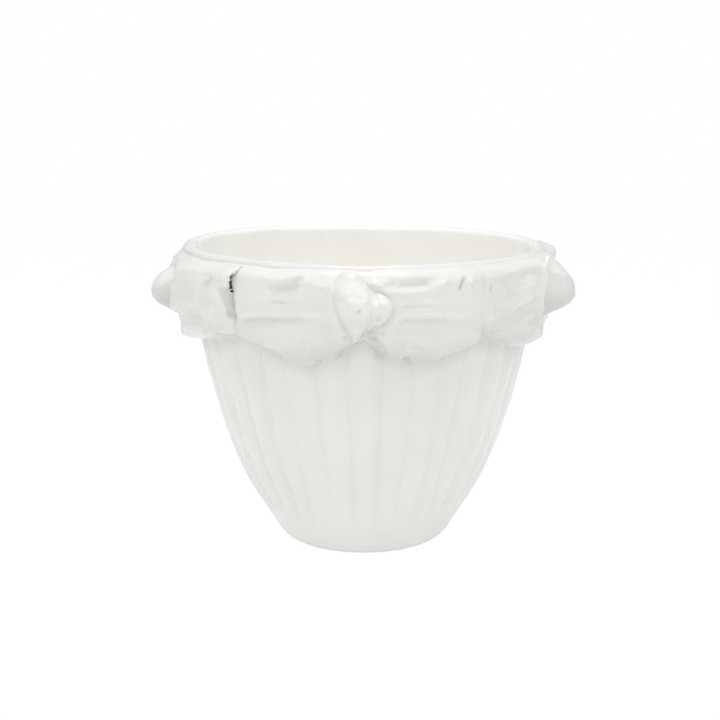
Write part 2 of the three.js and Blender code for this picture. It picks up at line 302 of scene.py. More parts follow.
def strokeRelief(away, drop, strokes):
    # what all the strokes add at points away degrees from the knot and drop below the lip
    here = np.stack([away * degreeWidth, drop], axis=-1)
    total = np.zeros(len(here))
    for each in strokes:
        line = strokePath(each["path"]) * (degreeWidth, 1)
        margin = 2.6 * each["width"]      # hardly a thousandth of the stroke is left beyond it
        near = np.all((here > line.min(axis=0) - margin) & (here < line.max(axis=0) + margin), axis=1)
        spot = here[near]
        nearest = np.full(len(spot), 1e9)
        for start, end in zip(line, line[1:]):
            span = end - start
            share = np.clip(((spot - start) @ span) / max(float(span @ span), 1e-9), 0, 1)
            gap = spot - start - share[:, None] * span
            nearest = np.minimum(nearest, np.einsum("ij,ij->i", gap, gap))
        ends = np.minimum(np.hypot(*(spot - line[0]).T), np.hypot(*(spot - line[-1]).T))
        taper = 0.3 + 0.7 * ease(ends, 0, each["fade"])
        total[near] += each["height"] * taper * np.exp(-nearest / each["width"] ** 2)
    return total


# Drapes: folded clay laid along the wall, from the knot to a free end
drape = {
    "topThickness": 6.0, "bodyThickness": 7.4, "thickens": (4, 20), "settles": (2, 8),
    "topDrop": 0.5, "topRound": 8, "topFillet": 2.4, "endRound": 2.2,
    "hemMiddle": 4.8, "hemFillet": 1.1, "hemSpill": 2.6, "hemSink": 2.0, "sinks": (2.5, 9),
    "fullUndercut": 3, "overhang": 2.6, "lean": 0.35, "leanTo": 4,
    "seat": -0.4, "backing": 1.6, "thinnest": 1.8, "start": -0.5, "reach": 36,
    "bellyRise": 11, "bellyBreadth": 8, "broadLumps": 0.5, "smallLumps": 0.12,
    "squareLift": 1.2, "flareReach": 12, "flareFoot": (8, 42),
    "across": 150, "up": 105, "crowding": 0.5, "voxel": 0.5, "smoothing": 10,
}

# Hems are (degrees from the knot, drop), and free ends are (drop, degrees from the knot)
frontRight = {
    "hem": [(0, 43), (3, 47.5), (6, 51.2), (12, 52.6), (17, 54.8), (22, 55.6), (26, 53.6), (31, 51),
            (34, 49), (38, 46)],
    "end": [(0, 36.0), (12, 36.2), (20, 36.8), (28, 37.4), (34, 37.2), (40, 36.4), (50, 35)],
    "endRound": [(0, 4.4), (12, 5), (20, 6)],
    "belly": 2.4, "flare": 0, "emphasis": 1.3,
    "folds": [
        stroke([(3.4, 9.5), (6.5, 11.4), (12, 12.2), (17, 11.4), (20.5, 9), (22.8, 6)], 1.9, 1.7),
        stroke([(8.5, 8.6), (13, 9.2), (18, 8.0)], 3.8, -1.0),
        stroke([(1.4, 5.6), (4.4, 6.4)], 2.4, 2.2),
        stroke([(26.6, 12.8), (27.4, 9.4), (28.2, 6.6)], 0.9, -2.2, 1),
        stroke([(29, 12.5), (29.8, 8.5), (30.4, 5.5)], 1.7, 1.5),
        stroke([(24.5, 10), (25.4, 7)], 1.6, 0.9),
        stroke([(10, 20.4), (14, 20.8), (19, 20.6)], 1.9, -0.8),
        stroke([(6, 16), (14, 16.6), (22, 15.5)], 3.2, 0.8),
        stroke([(9, 25.2), (13, 24.8), (17, 24.5), (23, 24.8), (30, 26.5)], 2.8, 1.5, 7),
        stroke([(9, 29.6), (13, 29.3), (18, 29.4), (24, 29.6)], 1.8, -0.9),
        stroke([(26, 33), (31, 36), (33, 42)], 3.4, 1.1),
        stroke([(3, 38), (12, 37), (20, 37), (31, 39)], 6.0, 1.2, 8),
        stroke([(10, 43.2), (13.5, 43.8), (16, 46.2), (16.8, 50)], 1.9, 1.5),
        stroke([(1.8, 36), (3.0, 40.5), (4.6, 45)], 3.4, -2.0, 2),
        stroke([(20, 46), (25, 46.5), (29, 44.5)], 3.0, 1.2),
        stroke([(34.8, 7), (35.3, 14)], 1.3, -1.2),
        stroke([(32.6, 42), (33.6, 47)], 2.2, -1.2),
    ],
    "undercut": [
        stroke([(5.2, 50.4), (9.6, 51.4)], 3.2, 3.4, 1),
        stroke([(14.8, 52.6), (20, 53.4)], 3.2, 3.4, 1),
    ],
}

frontLeft = {
    "hem": [(0, 43), (5, 47), (9, 50), (13, 52.4), (17, 56), (21, 55.6), (27, 54.4), (31, 50.4),
            (35, 47.6), (40, 46)],
    "end": [(0, 39.4), (4, 39.8), (8, 39.9), (12, 39.9), (15, 40.3), (18, 40.6), (28, 40.6), (33, 40),
            (50, 40)],
    "endRound": [(0, 2.2), (12, 2.2), (16, 6), (30, 6.5), (36, 3)],
    # the last share paints shade on the end's face
    "belly": 2.4, "flare": 0, "emphasis": 1.3, "endShade": 0.8,
    "folds": [
        stroke([(15.2, 3), (15.9, 7), (17.0, 11), (18.4, 14.5)], 1.9, 1.8),
        stroke([(17.6, 8.2), (20.2, 10.6), (25, 12.8)], 4.0, -1.5),
        stroke([(21.2, 5.2), (25, 6.8)], 1.4, 1.2),
        stroke([(26.8, 5.6), (28.4, 5)], 1.6, 1.3, 1),
        stroke([(18.8, 15.4), (23, 16), (28, 15.6), (31, 13)], 2.2, 0.7),
        stroke([(22.4, 19.8), (25.8, 20)], 1.4, -1.2, 1),
        stroke([(4, 12), (10, 11.4), (14, 11)], 3.4, 0.9),
        stroke([(8, 24), (18, 24.2), (24, 25), (30, 25.6), (37, 27)], 3.2, 1.5, 6),
        stroke([(15, 28.2), (20, 28.5), (27, 29.6), (33, 31.2), (38, 32.4)], 1.7, -1.1, 6),
        stroke([(19, 31), (28, 31.6)], 1.2, -0.9),
        stroke([(20, 34.8), (28, 34.6), (36, 37)], 2.6, 0.7),
        stroke([(8, 37), (16, 35.5), (25, 35.8), (37, 38.5)], 5.0, 0.9, 8),
        stroke([(15.6, 39.5), (16, 43), (16.2, 47.5)], 1.8, 1.5),
        stroke([(24, 42), (30, 43)], 3.0, 1.0),
        stroke([(26, 49.4), (28.5, 49.4)], 1.8, -1.4),
        stroke([(1.4, 37), (3.0, 42)], 3.0, -1.2, 2),
    ],
    "undercut": [
        stroke([(8.2, 48.6), (10.8, 49.8)], 3.0, 3.4, 1),
        stroke([(13.5, 52.4), (17, 54), (23, 54)], 3.4, 2.0),
    ],
}

# The bow to the left: its right wing has come loose from the wall, and hangs open beside the front bow
looseRight = {
    "hem": [(0, 55), (5, 54.5), (10, 53), (17, 50.5), (22, 48), (26, 46.5), (32, 43.6)],
    "end": [(0, 35.4), (3, 35.0), (7.5, 34.2), (12, 33.6), (16, 33.4), (20, 33.0), (28, 32.8), (33, 33.2),
            (36, 33.9), (45, 34), (50, 32)],
    "hollow": [(2, 0), (4.5, 1.5), (15.5, 1.5), (17.5, 0.8), (22, 0)],
    "endRound": [(0, 1.6), (12, 1.8), (18, 5), (30, 6)],
    # the last two shares paint shade: none lower down, and shade on the end's face
    "belly": 3.4, "flare": 7.5, "flareFoot": (13, 36), "lowerShade": 0, "endShade": 1.2,
    "folds": [
        stroke([(2, 6), (8, 5), (16, 6), (26, 5)], 3.4, 1.8),
        stroke([(5.5, 2), (6.4, 9), (6.8, 18), (6.6, 28), (6, 37)], 7.5, 4.0, 9),
        stroke([(2.2, 11), (2.8, 19), (3.0, 27), (3.4, 34)], 1.9, -4.0),
        stroke([(6.0, 13), (5.2, 19), (5.2, 27), (6.2, 35)], 3.6, 4.6, 5),
        stroke([(12.6, 7), (13, 10.5)], 1.8, 1.0, 1),
        stroke([(19, 15.5), (22.5, 11.5), (25.5, 7.6)], 2.2, -1.4),
        stroke([(23, 17), (27, 12), (30, 7)], 3.4, 1.2),
        stroke([(6, 27), (14, 26), (24, 29)], 4.5, 1.4),
        stroke([(14, 34), (22, 36.5)], 2.6, -1.0),
        stroke([(4, 42), (12, 41), (20, 40)], 5.5, 1.6),
        stroke([(17, 44.6), (19.4, 45.4)], 1.8, 1.4),
        stroke([(31.2, 27.6), (31.6, 30)], 1.5, -2.6, 1),
        stroke([(21.6, 46), (26, 44)], 1.8, -2.6),
        stroke([(25.5, 43.4), (28.5, 45), (31, 47)], 2.2, -3.0),
    ],
}

# The bow to the right: its left wing overlaps the front bow's free end
overlapLeft = {
    "hem": [(0, 57.5), (6, 58.4), (11, 57.6), (16, 55.4), (22, 51), (28, 48.2), (34, 45.6), (40, 45)],
    "end": [(0, 38.4), (12, 38.6), (30, 38.6), (35, 38), (42, 37.6), (50, 36.6)],
    "endRound": [(0, 4.4), (12, 5), (20, 6)],
    # the last share paints stronger shade lower down the wing
    "belly": 1.4, "flare": 0, "lowerShade": 0.42,
    "folds": [
        stroke([(10, 3.8), (20, 3.6), (33, 4.4)], 2.6, 1.6),
        stroke([(31.5, 4), (32, 6.6)], 1.8, -1.0, 1),
        stroke([(29, 3.5), (29.6, 7.5)], 2.2, 0.8, 1),
        stroke([(12, 8), (20, 7.6), (28, 8.2)], 3.0, -0.8),
        stroke([(13, 13.4), (18, 13), (23, 13.6)], 2.2, 1.8),
        stroke([(34, 8), (30.5, 14), (28, 19.5), (24, 23.5)], 3.8, 1.4),
        stroke([(35.2, 10), (35.2, 15.5)], 1.2, -1.8, 1),
        stroke([(33.6, 24), (33.8, 30)], 1.4, 1.3, 1),
        stroke([(8, 26), (16, 26.8), (24, 29.6)], 2.0, -0.8),
        stroke([(11, 33.6), (16, 33.2), (20, 33.6)], 1.8, 1.2),
        stroke([(14, 38.5), (22, 36.5), (30, 37)], 4.5, 1.1),
        stroke([(24, 46), (31, 43.6)], 2.0, -1.4),
        stroke([(4, 44), (12, 43)], 6.0, 1.6),
        stroke([(33.6, 40), (34.4, 45)], 2.0, -2.0),
    ],
}

# Clay pushed up against the knot on either side of it
leftBedding = [stroke([(7.2, 8), (8.6, 14), (8.4, 21), (7.0, 29), (5.2, 36)], 3.8, 2.6)]
rightBedding = [stroke([(8.4, 19), (8.6, 24), (7.2, 29), (5.0, 34)], 3.6, 2.2)]


def variant(wing, **changes):
    return {**wing, **changes}


# Wings by bow and by side, 1 to the right of its knot and -1 to the left. Six are guessed from the four seen.
squareEnd = overlapLeft["end"]
wings = {
    (0, 1): frontRight,
    (0, -1): frontLeft,
    (4, 1): looseRight,
    (1, -1): overlapLeft,
    (4, -1): variant(frontLeft, hem=[(0, 55), (5, 57.6), (10, 59), (17, 58.6), (25, 56), (38, 49)],
                     end=squareEnd, belly=3.6),
    (1, 1): variant(frontRight, hem=[(0, 57.5), (5, 60), (11, 62.4), (18, 62.6), (26, 58), (38, 50)],
                    belly=0.4, flare=15),
    (2, 1): variant(frontRight, hem=looseRight["hem"][:4] + [(26, 52), (38, 46)], flare=5.5),
    (2, -1): variant(overlapLeft, belly=2.4),
    (3, 1): variant(frontRight, belly=2.6, flare=6.0),
    (3, -1): variant(frontLeft, end=squareEnd, belly=2.2),
}


def makeSlab(name):
    selectNothing()
    bpy.ops.mesh.primitive_grid_add(x_subdivisions=drape["across"], y_subdivisions=drape["up"], size=2)
    piece = bpy.context.object
    piece.name = name.replace("_", "") + "Clay"
    bpy.ops.object.mode_set(mode="EDIT")
    bpy.ops.mesh.select_all(action="SELECT")
    bpy.ops.mesh.extrude_region_move(TRANSFORM_OT_translate={"value": (0, 0, 1)})
    bpy.ops.object.mode_set(mode="OBJECT")
    return piece


def layOut(slab, wing):
    # each corner's degrees from the knot and drop, and the hem's drop and the end's place beside it
    along = (slab[:, 0] + 1) / 2
    up = crowdEnds((slab[:, 1] + 1) / 2, drape["crowding"])      # more rows beside the hem and the top
    hem = [(place, drop + drape["hemSpill"]) for place, drop in wing["hem"]]
    away = along * drape["reach"]
    for attempt in range(2):      # the hem and the end each depend on the other
        hemDrop = readOff(hem, away)
        drop = hemDrop + (drape["topDrop"] - hemDrop) * up
        end = readOff(wing["end"], drop)
        away = drape["start"] + (end - drape["start"]) * along
    return away, drop, hemDrop, end


def roundEdges(wing, away, drop, hemDrop, end, sharp):
    # the top and the hem run out softly into the wall, as the glaze has filled them, and the end is cut
    endRound = readOff(wing.get("endRound", [(0, drape["endRound"])]), drop)
    inFromEnd = np.clip((end - away) * degreeWidth / endRound, 0, 1)
    inFromTop = np.clip((drop - drape["topDrop"]) / drape["topRound"], 0, 1)
    rounding = (1 - (1 - inFromTop) ** 1.7) * ease(drop - drape["topDrop"], 0, drape["topFillet"])
    hemMiddle = drape["hemMiddle"] - drape["overhang"] * sharp
    fillet = drape["hemFillet"] * (1 - 0.5 * sharp)
    rounding = rounding / (1 + np.exp((hemMiddle - hemDrop + drop) / fillet))
    return rounding * np.sqrt(1 - (1 - inFromEnd) ** 2)


def foldClay(wing, bow, side, away, drop, hemDrop):
    # how far the folds, the fingers' lumps and the belly above the hem stand out
    corners = placeOnPot(drapeMiddle, side * away + bowTurn * bow, potHeight - drop)
    broad, small = (lumps(corners, size, 3 * bow + side + seed) for size, seed in ((19, 1), (9, 40)))
    relief = wing.get("emphasis", 1) * strokeRelief(away, drop, wing["folds"])
    relief += drape["broadLumps"] * broad + drape["smallLumps"] * small
    relief += wing["belly"] * np.exp(-((hemDrop - drop - drape["bellyRise"]) / drape["bellyBreadth"]) ** 2)
    return relief + strokeRelief(away, drop, rightBedding if side > 0 else leftBedding)


def endLift(wing, side, away, drop, end):
    # a right-hand free end stands off the wall and flares under the lip
    if side < 0:
        return drape["squareLift"] * ease(away, 26, 36) * (1 - ease(drop, 20, 40))
    foot = wing.get("flareFoot", drape["flareFoot"])
    flare = wing["flare"] * ease(away, end - drape["flareReach"], end) ** 1.4 * (1 - ease(drop, *foot))
    return flare * (0.45 + 0.55 * ease(drop, 0, 7))


def makeDrape(bow, side):
    name = f"drape_{'right' if side > 0 else 'left'}_{bow + 1}"
    wing = wings[bow, side]
    piece = makeSlab(name)
    slab = readCorners(piece)
    front = slab[:, 2] > 0.5
    away, drop, hemDrop, end = layOut(slab, wing)
    undercut = strokeRelief(away, drop, wing.get("undercut", []))
    sharp = np.clip(undercut / drape["fullUndercut"], 0, 1)
    rounding = roundEdges(wing, away, drop, hemDrop, end, sharp)
    relief = foldClay(wing, bow, side, away, drop, hemDrop)
    thicker = (drape["bodyThickness"] - drape["topThickness"]) * ease(drop, *drape["thickens"])
    thickness = drape["topThickness"] + thicker
    settled = ease(rounding, 0.05, 0.9) * ease(drop, *drape["settles"])
    thickness = thickness * rounding + np.maximum(relief, 1 - thickness) * settled
    # the back follows the wall, but for an end that has come loose
    lift = endLift(wing, side, away, drop, end)
    gap = lift * readOff(wing.get("hollow", [(0, 1)]), drop)
    gap = np.minimum(gap, np.maximum(lift + thickness - drape["thinnest"], 0))
    backing = drape["backing"] * (1 - ease(gap, 0, 2))
    sink = drape["hemSink"] * (1 - ease(hemDrop - drop, *drape["sinks"])) * (1 - 0.7 * sharp)
    radius = wallRadius(potHeight - drop) + drape["seat"] - sink
    radius = radius + np.where(front, lift + thickness, gap - backing)
    droop = drape["lean"] * np.clip(relief, 0, drape["leanTo"]) * rounding + undercut
    droop = np.where(front, droop, 0)
    writeCorners(piece, placeOnPot(radius, side * away + bowTurn * bow, potHeight - drop - droop))
    outwardNormals(piece)
    addModifier(piece, "REMESH", mode="VOXEL", voxel_size=drape["voxel"] * mm)
    addModifier(piece, "SMOOTH", factor=0.5, iterations=drape["smoothing"])
    bpy.ops.object.shade_smooth()
    shadeAndPoolOnDrape(piece, wing, bow, side)
    print(name, len(piece.data.polygons), "faces")
    return piece, name


# Painted shade, in part glaze pooled in hollows and under the hem: shares from 0 to 1, and the depths, drops
# and distances over which they come and go
shadingAndPooling = {
    "hollows": 0.6, "hollowDepth": 1.8, "hem": 0.65, "hemFades": (2, 13),
    "lowerShade": 0.25, "lowerShadeDrops": (24, 38), "endFades": (1, 4), "endFrom": (11, 15), "endTo": (29, 34),
    "underHem": 0.8, "underHemFades": (0.5, 11), "behindHem": 20,
    "knotFoot": 0.65, "knotFootDrops": (17, 34), "otherKnots": 0.4,
}


def shadeAndPoolOnDrape(piece, wing, bow, side):
    # painted shade in the fold hollows and along the hem, where some glaze has pooled too, and painted shade
    # lower down the wing and on the free end's face
    corners = readCorners(piece) / mm
    away = side * fromKnot(azimuthOf(corners), bow)
    drop = potHeight - corners[:, 2]
    hollow = np.clip(-strokeRelief(away, drop, wing["folds"]) / shadingAndPooling["hollowDepth"], 0, 1)
    nearHem = 1 - ease(readOff(wing["hem"], away) - drop, *shadingAndPooling["hemFades"])
    lowerShade = wing.get("lowerShade", shadingAndPooling["lowerShade"]) * ease(drop, *shadingAndPooling["lowerShadeDrops"])
    nearEnd = 1 - ease(readOff(wing["end"], drop) - away, *shadingAndPooling["endFades"])
    atEnd = wing.get("endShade", 0) * nearEnd * ease(drop, *shadingAndPooling["endFrom"])
    atEnd = atEnd * (1 - ease(drop, *shadingAndPooling["endTo"]))
    setShadeAndPool(piece, shadingAndPooling["hollows"] * hollow + shadingAndPooling["hem"] * nearHem + lowerShade + atEnd)


def shadeAndPoolOnBowl(piece):
    # painted shade on the wall under the hem, where some glaze has gathered too
    corners = readCorners(piece) / mm
    azimuth = azimuthOf(corners) % 360
    bow = np.round(azimuth / bowTurn) % bowCount
    away = fromKnot(azimuth, bow)
    below = np.full(len(corners), 99.0)
    for (number, side), wing in wings.items():
        here = (bow == number) & (away * side >= 0)
        below[here] = potHeight - corners[here, 2] - readOff(wing["hem"], np.abs(away[here]))
    share = shadingAndPooling["underHem"] * (1 - ease(below, *shadingAndPooling["underHemFades"]))
    setShadeAndPool(piece, np.where(below > -shadingAndPooling["behindHem"], share, 0))


def setShadeAndPool(piece, share):
    # the share of painted shade, partly pooled glaze, that darkens the glaze towards its darker tone
    shadeAndPool = piece.data.attributes.new("shadeAndPool", "FLOAT", "POINT")
    shadeAndPool.data.foreach_set("value", np.clip(share, 0, 1))


# Knots: an upright strap over the meeting drapes, and a tuck of it puffed out on the right.
# Levels are (drop, left edge, right edge, reach from the axis).
knot = {
    "top": 0.2, "crown": 21, "foot": 42.6, "seat": 5.5, "skirt": 1.22, "edge": 0.88, "fillet": 0.14,
    "flatness": 0.38, "backDepth": 3, "workedRadii": (118, 124), "broadLumps": 0.5, "smallLumps": 0.15,
    "voxel": 0.6, "smoothing": 11,
}
strapLevels = [
    (0.2, -5.6, -3.4, 119.6), (3, -6.6, -1.6, 122.6), (6, -7.7, -0.4, 125.6), (9.5, -8.7, 1.2, 128.6),
    (13, -8.9, 2.4, 131.2), (17, -8.6, 3.0, 133.4), (21, -8.1, 3.1, 134.5), (25, -7.4, 2.7, 135.2),
    (28, -6.9, 2.2, 135.2), (31, -6.2, 1.4, 133.6), (33.5, -5.7, 0.6, 130.4), (36, -5.1, -0.6, 126),
    (39, -4.4, -1.8, 120.6), (41.8, -3.8, -2.6, 116),
]
tuckLevels = [
    (12.5, 2.2, 4.6, 123), (14.5, 1.8, 6.0, 126.2), (17.5, 1.4, 7.3, 128.8), (21, 1.2, 8.0, 129.8),
    (25, 1.4, 7.6, 128.8), (28.5, 1.8, 6.0, 126.6), (31.5, 2.4, 4.4, 123),
]
neckLevels = [
    (9, -3, 1.6, 122), (13, -3, 3.4, 126), (18, -3, 5.6, 128.2), (24, -3, 5.8, 128.4), (29, -3, 4.4, 126),
    (33, -3, 2.6, 123.4), (37, -3.6, -0.4, 120),
]
knotStrokes = [
    stroke([(-0.6, 5), (1.4, 10), (3.2, 15.5), (3.8, 22), (3.0, 28)], 1.3, -1.5),
    stroke([(6.2, 22), (6.4, 26)], 0.9, -0.9, 1),
    stroke([(-7.0, 12), (-6.4, 16)], 1.6, 0.9, 1),
    stroke([(-4.6, 13.5), (-3.8, 18)], 2.2, 1.0),
    stroke([(0.4, 14), (1.0, 18)], 1.8, 0.9),
    stroke([(-0.4, 25), (-0.8, 31)], 2.6, -1.1),
    stroke([(-6.4, 33), (-4.6, 37.4)], 1.0, 0.7),
]
pinhole = [stroke([(-1.4, 21.0), (-1.4, 21.4)], 0.8, -3.4, 1)]      # in the front knot only

# How the knots differ: degrees off their place, drops of top and foot, and how much further out the tuck and
# the strap reach
ownShape = {
    0: {"turn": 0, "top": 0.2, "foot": 42.6, "tuck": 0, "reach": 0},
    1: {"turn": 0.6, "top": 0.6, "foot": 40, "tuck": 0, "reach": 1.2},
    2: {"turn": -0.5, "top": 0.8, "foot": 41.5, "tuck": 0.8, "reach": -0.8},
    3: {"turn": 0.8, "top": 2.0, "foot": 43.5, "tuck": -0.6, "reach": 0.3},
    4: {"turn": -2.6, "top": 9, "foot": 42.0, "tuck": -7, "reach": 0.2},
}


def makeLump(levels, lean):
    selectNothing()
    bpy.ops.mesh.primitive_uv_sphere_add(segments=56, ring_count=40, radius=1)
    piece = bpy.context.object
    ball = readCorners(piece)
    rows = np.array(levels, float)
    share = (1 - ball[:, 2]) / 2
    drop = rows[0, 0] + (rows[-1, 0] - rows[0, 0]) * share
    ring = np.maximum(np.hypot(ball[:, 0], ball[:, 1]), 1e-6)
    across, out = ball[:, 0] / ring, -ball[:, 1] / ring
    left = np.interp(drop, rows[:, 0], rows[:, 1])
    right = np.interp(drop, rows[:, 0], rows[:, 2])
    reach = np.interp(drop, rows[:, 0], rows[:, 3])
    seat = wallRadius(potHeight - drop) + knot["seat"]
    width = (right - left) / 2
    # across the front, from -1 to 1 between the edges and a little beyond them
    turn = knot["skirt"] * np.arctan2(across, np.maximum(out, 0)) / (math.pi / 2)
    dome = (1 - knot["flatness"] * turn ** 2) / (1 + np.exp((np.abs(turn) - knot["edge"]) / knot["fillet"]))
    azimuth = (left + right) / 2 + width * turn + lean * dome
    return piece, seat + np.where(out > 0, (reach - seat) * dome, knot["backDepth"] * out), azimuth, drop


def makeKnot(bow):
    name = f"knot_{bow + 1}"
    own = ownShape[bow]
    usual = [knot["top"], knot["crown"], knot["foot"]]
    parts = []
    for levels, lean, further in (
        (tuckLevels, 0, own["tuck"]), (neckLevels, 0, own["tuck"]), (strapLevels, 0.8, own["reach"]),
    ):
        part, radius, azimuth, drop = makeLump(levels, lean)
        drop = np.interp(drop, usual, [own["top"], knot["crown"], own["foot"]])
        azimuth = azimuth + own["turn"] + bowTurn * bow
        writeCorners(part, placeOnPot(radius + further, azimuth, potHeight - drop))
        parts.append(part)
    pickOnly(parts[-1])
    for part in parts[:-1]:
        part.select_set(True)
    bpy.ops.object.join()
    piece = bpy.context.object
    piece.name = f"knot{bow + 1}Clay"
    piece.data.name = piece.name
    outwardNormals(piece)
    addModifier(piece, "REMESH", mode="VOXEL", voxel_size=knot["voxel"] * mm)
    addModifier(piece, "SMOOTH", factor=0.5, iterations=knot["smoothing"])
    corners = readCorners(piece)
    radius = np.hypot(corners[:, 0], corners[:, 1]) / mm
    azimuth = azimuthOf(corners)
    drop = potHeight - corners[:, 2] / mm
    strokes = knotStrokes + (pinhole if bow == 0 else [])
    relief = strokeRelief(fromKnot(azimuth, bow) - own["turn"], drop, strokes)
    broad, small = lumps(corners, 11, bow + 20), lumps(corners, 5, bow + 30)
    relief += knot["broadLumps"] * broad + knot["smallLumps"] * small
    radius = radius + relief * ease(radius, *knot["workedRadii"])
    writeCorners(piece, placeOnPot(radius, azimuth, corners[:, 2] / mm))
    bpy.ops.object.shade_smooth()
    # painted shade towards the knot's foot, and the other knots darker all over
    nearFoot = ease(drop, *shadingAndPooling["knotFootDrops"])
    setShadeAndPool(piece, shadingAndPooling["knotFoot"] * nearFoot + (shadingAndPooling["otherKnots"] if bow else 0))
    print(name, len(piece.data.polygons), "faces")
    return piece, name


# Tones of the glaze on each kind of piece, each with its darker tone for the cloudiness and the painted
# shade, then the tones over the lip and inside, and the bare foot's
tones = {
    "reeds": ((0.848, 0.853, 0.828), (0.745, 0.752, 0.728)),
    "folds": ((0.884, 0.889, 0.862), (0.685, 0.691, 0.667)),
    "knots": ((0.915, 0.92, 0.892), (0.69, 0.696, 0.672)),
    "milk": (0.93, 0.93, 0.912), "cream": (0.985, 0.96, 0.9),
    "clay": (0.62, 0.5, 0.37), "paleClay": (0.74, 0.64, 0.5),
}


def addNode(tree, kind, **inputs):
    node = tree.nodes.new(kind)
    for name, value in inputs.items():
        node.inputs[name.replace("_", " ")].default_value = value
    return node


def addMix(tree, **colours):
    mix = tree.nodes.new("ShaderNodeMix")
    mix.data_type = "RGBA"
    for name, colour in colours.items():
        mix.inputs[name].default_value = (*colour, 1)
    return mix


def glazeGroup():
    # one white glaze: cloudy tone, greyer where shade is painted in (partly pooled glaze), and a thin wavy
    # skin
    group = bpy.data.node_groups.new("glazeWithShade", "ShaderNodeTree")
    for name in ("Tone", "CloudAndShadeTone"):
        group.interface.new_socket(name=name, in_out="INPUT", socket_type="NodeSocketColor")
    group.interface.new_socket(name="Colour", in_out="OUTPUT", socket_type="NodeSocketColor")
    for name in ("Roughness", "Skin"):
        group.interface.new_socket(name=name, in_out="OUTPUT", socket_type="NodeSocketFloat")
    nodes, links = group.nodes, group.links
    source = nodes.new("NodeGroupInput")
    result = nodes.new("NodeGroupOutput")
    place = nodes.new("ShaderNodeTexCoord")
    cloud = addNode(group, "ShaderNodeTexNoise", Scale=26, Detail=3)
    wave = addNode(group, "ShaderNodeTexNoise", Scale=240, Detail=2)
    for each in (cloud, wave):
        links.new(place.outputs["Object"], each.inputs["Vector"])
    mix = addMix(group)
    spread = addNode(group, "ShaderNodeMapRange", From_Min=0.35, From_Max=0.75, To_Max=0.3)
    shadeShare = nodes.new("ShaderNodeAttribute")
    shadeShare.attribute_name = "shadeAndPool"
    share = nodes.new("ShaderNodeMath")
    share.operation = "MAXIMUM"
    links.new(cloud.outputs["Fac"], spread.inputs["Value"])
    links.new(spread.outputs["Result"], share.inputs[0])
    links.new(shadeShare.outputs["Fac"], share.inputs[1])
    links.new(share.outputs[0], mix.inputs["Factor"])
    links.new(source.outputs["Tone"], mix.inputs["A"])
    links.new(source.outputs["CloudAndShadeTone"], mix.inputs["B"])
    links.new(mix.outputs["Result"], result.inputs["Colour"])
    rough = addNode(group, "ShaderNodeMapRange", To_Min=0.1, To_Max=0.2)
    links.new(cloud.outputs["Fac"], rough.inputs["Value"])
    links.new(rough.outputs["Result"], result.inputs["Roughness"])
    links.new(wave.outputs["Fac"], result.inputs["Skin"])
    return group


def glazeMaterial(name, group, tone, shadeAndPool):
    # tone is the glaze as it lies, and the second tone is the darker one that its cloudiness and the painted
    # shade mix towards
    material = bpy.data.materials.new(name)
    material.use_nodes = True
    tree = material.node_tree
    shader = tree.nodes["Principled BSDF"]
    glaze = tree.nodes.new("ShaderNodeGroup")
    glaze.node_tree = group
    glaze.inputs["Tone"].default_value = (*tone, 1)
    glaze.inputs["CloudAndShadeTone"].default_value = (*shadeAndPool, 1)
    bump = addNode(tree, "ShaderNodeBump", Strength=0.12, Distance=0.0004)
    tree.links.new(glaze.outputs["Colour"], shader.inputs["Base Color"])
    tree.links.new(glaze.outputs["Roughness"], shader.inputs["Roughness"])
    tree.links.new(glaze.outputs["Skin"], bump.inputs["Height"])
    tree.links.new(bump.outputs["Normal"], shader.inputs["Normal"])
    shader.inputs["IOR"].default_value = 1.5
    return material


def bowlGlaze(group):
    # the white glaze turns milky over the lip, and to cream further down the inside
    material = glazeMaterial("bowlGlaze", group, *tones["reeds"])
    tree = material.node_tree
    glaze = next(node for node in tree.nodes if node.type == "GROUP")
    within = tree.nodes.new("ShaderNodeAttribute")
    within.attribute_name = "within"
    depth = addNode(tree, "ShaderNodeMapRange", From_Min=0.5)
    tint = addMix(tree, A=tones["milk"], B=tones["cream"])
    entry = addNode(tree, "ShaderNodeMapRange", From_Max=0.5)
    mix = addMix(tree)
    for each in (depth, entry):
        tree.links.new(within.outputs["Fac"], each.inputs["Value"])
    tree.links.new(depth.outputs["Result"], tint.inputs["Factor"])
    tree.links.new(tint.outputs["Result"], mix.inputs["B"])
    tree.links.new(entry.outputs["Result"], mix.inputs["Factor"])
    tree.links.new(glaze.outputs["Colour"], mix.inputs["A"])
    tree.links.new(mix.outputs["Result"], tree.nodes["Principled BSDF"].inputs["Base Color"])
    # the glaze ran down the reeds in long upright streaks
    place = tree.nodes.new("ShaderNodeTexCoord")
    stretch = addNode(tree, "ShaderNodeMapping", Scale=(1, 1, 0.07))
    streaks = addNode(tree, "ShaderNodeTexNoise", Scale=150, Detail=1.5)
    run = addNode(tree, "ShaderNodeBump", Strength=0.6, Distance=0.0006)
    skin = next(node for node in tree.nodes if node.type == "BUMP")
    tree.links.new(place.outputs["Object"], stretch.inputs["Vector"])
    tree.links.new(stretch.outputs["Vector"], streaks.inputs["Vector"])
    tree.links.new(streaks.outputs["Fac"], run.inputs["Height"])
    tree.links.new(run.outputs["Normal"], skin.inputs["Normal"])
    return material


